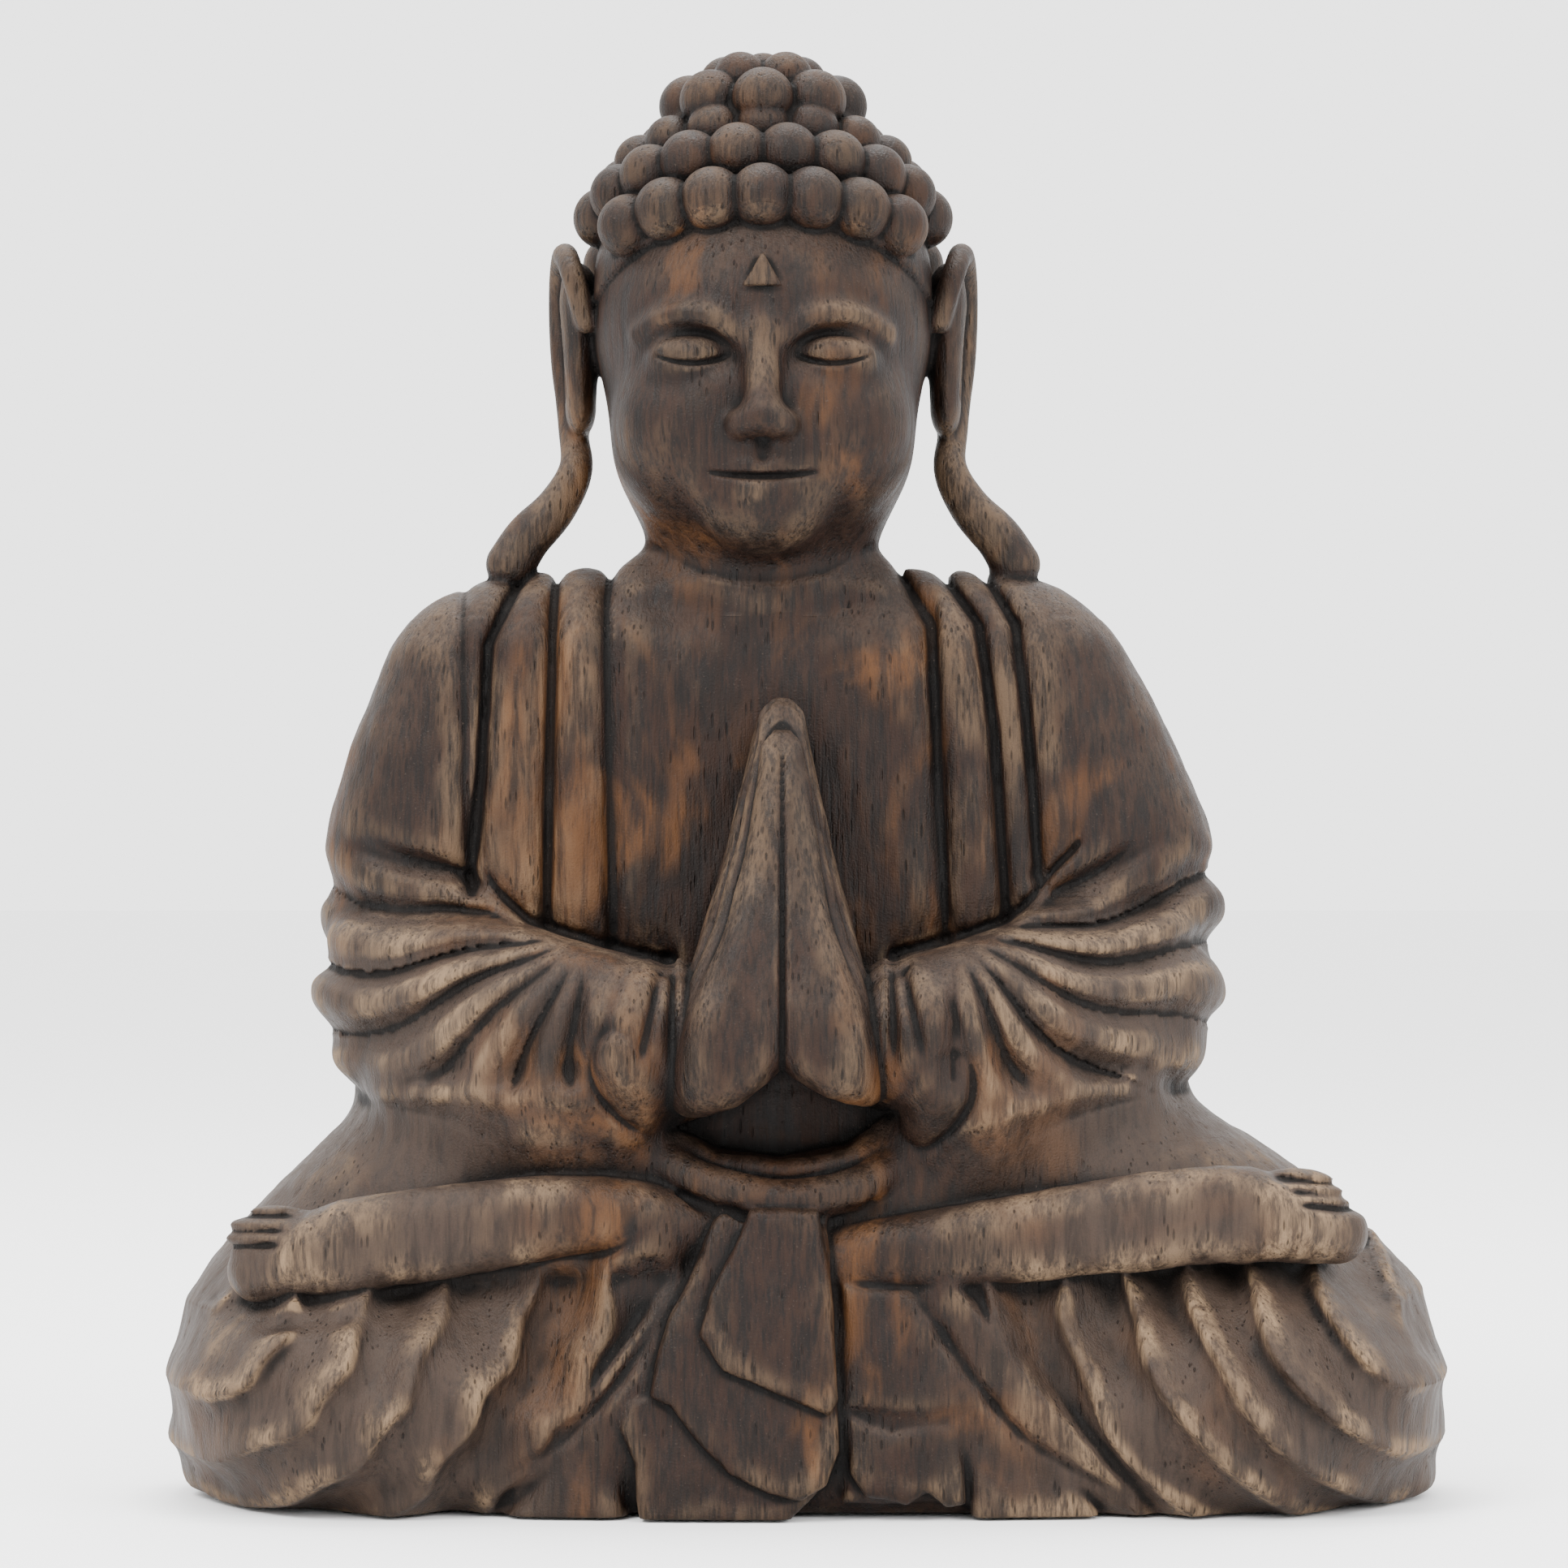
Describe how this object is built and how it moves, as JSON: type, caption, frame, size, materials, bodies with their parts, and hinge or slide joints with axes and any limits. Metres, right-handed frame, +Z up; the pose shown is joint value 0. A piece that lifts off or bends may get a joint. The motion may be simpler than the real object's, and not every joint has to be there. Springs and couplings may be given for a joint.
{
  "type": "seated buddha statue",
  "caption": "Wood-carved seated figure in lotus pose with pressed palms, curled hair, long ears and a pleated robe, on a flat base.",
  "frame": {"origin": "middle of the base at floor level", "axes": "+Z up, +Y to the figure's back, +X to the figure's left, which is the viewer's right"},
  "size_m": [0.2674, 0.1194, 0.2998],
  "materials": {
    "stained_wood": "dark stained and waxed, worn pale on the crests of the folds",
    "hair_wood": "dark stained and waxed, matt",
    "dowel_wood": "plain hardwood, guessed, hidden inside"
  },
  "bodies": {
    "root": {"lap": "stained_wood", "right_knee": "stained_wood", "left_knee": "stained_wood", "right_foot": "stained_wood", "left_foot": "stained_wood", "front_drape": "stained_wood", "right_side_drape": "stained_wood", "left_side_drape": "stained_wood", "waist_sash": "stained_wood", "torso": "stained_wood", "right_upper_arm": "stained_wood", "left_upper_arm": "stained_wood", "right_sleeve": "stained_wood", "left_sleeve": "stained_wood", "right_hand": "stained_wood", "left_hand": "stained_wood", "head": "stained_wood", "hair_cap": "hair_wood", "topknot": "hair_wood", "right_ear": "stained_wood", "left_ear": "stained_wood", "forehead_mark": "stained_wood", "neck_dowel": "dowel_wood", "shoulder_dowels": "dowel_wood", "elbow_dowels": "dowel_wood", "wrist_pegs": "dowel_wood", "knee_dowels": "dowel_wood"}
  },
  "joints": []
}
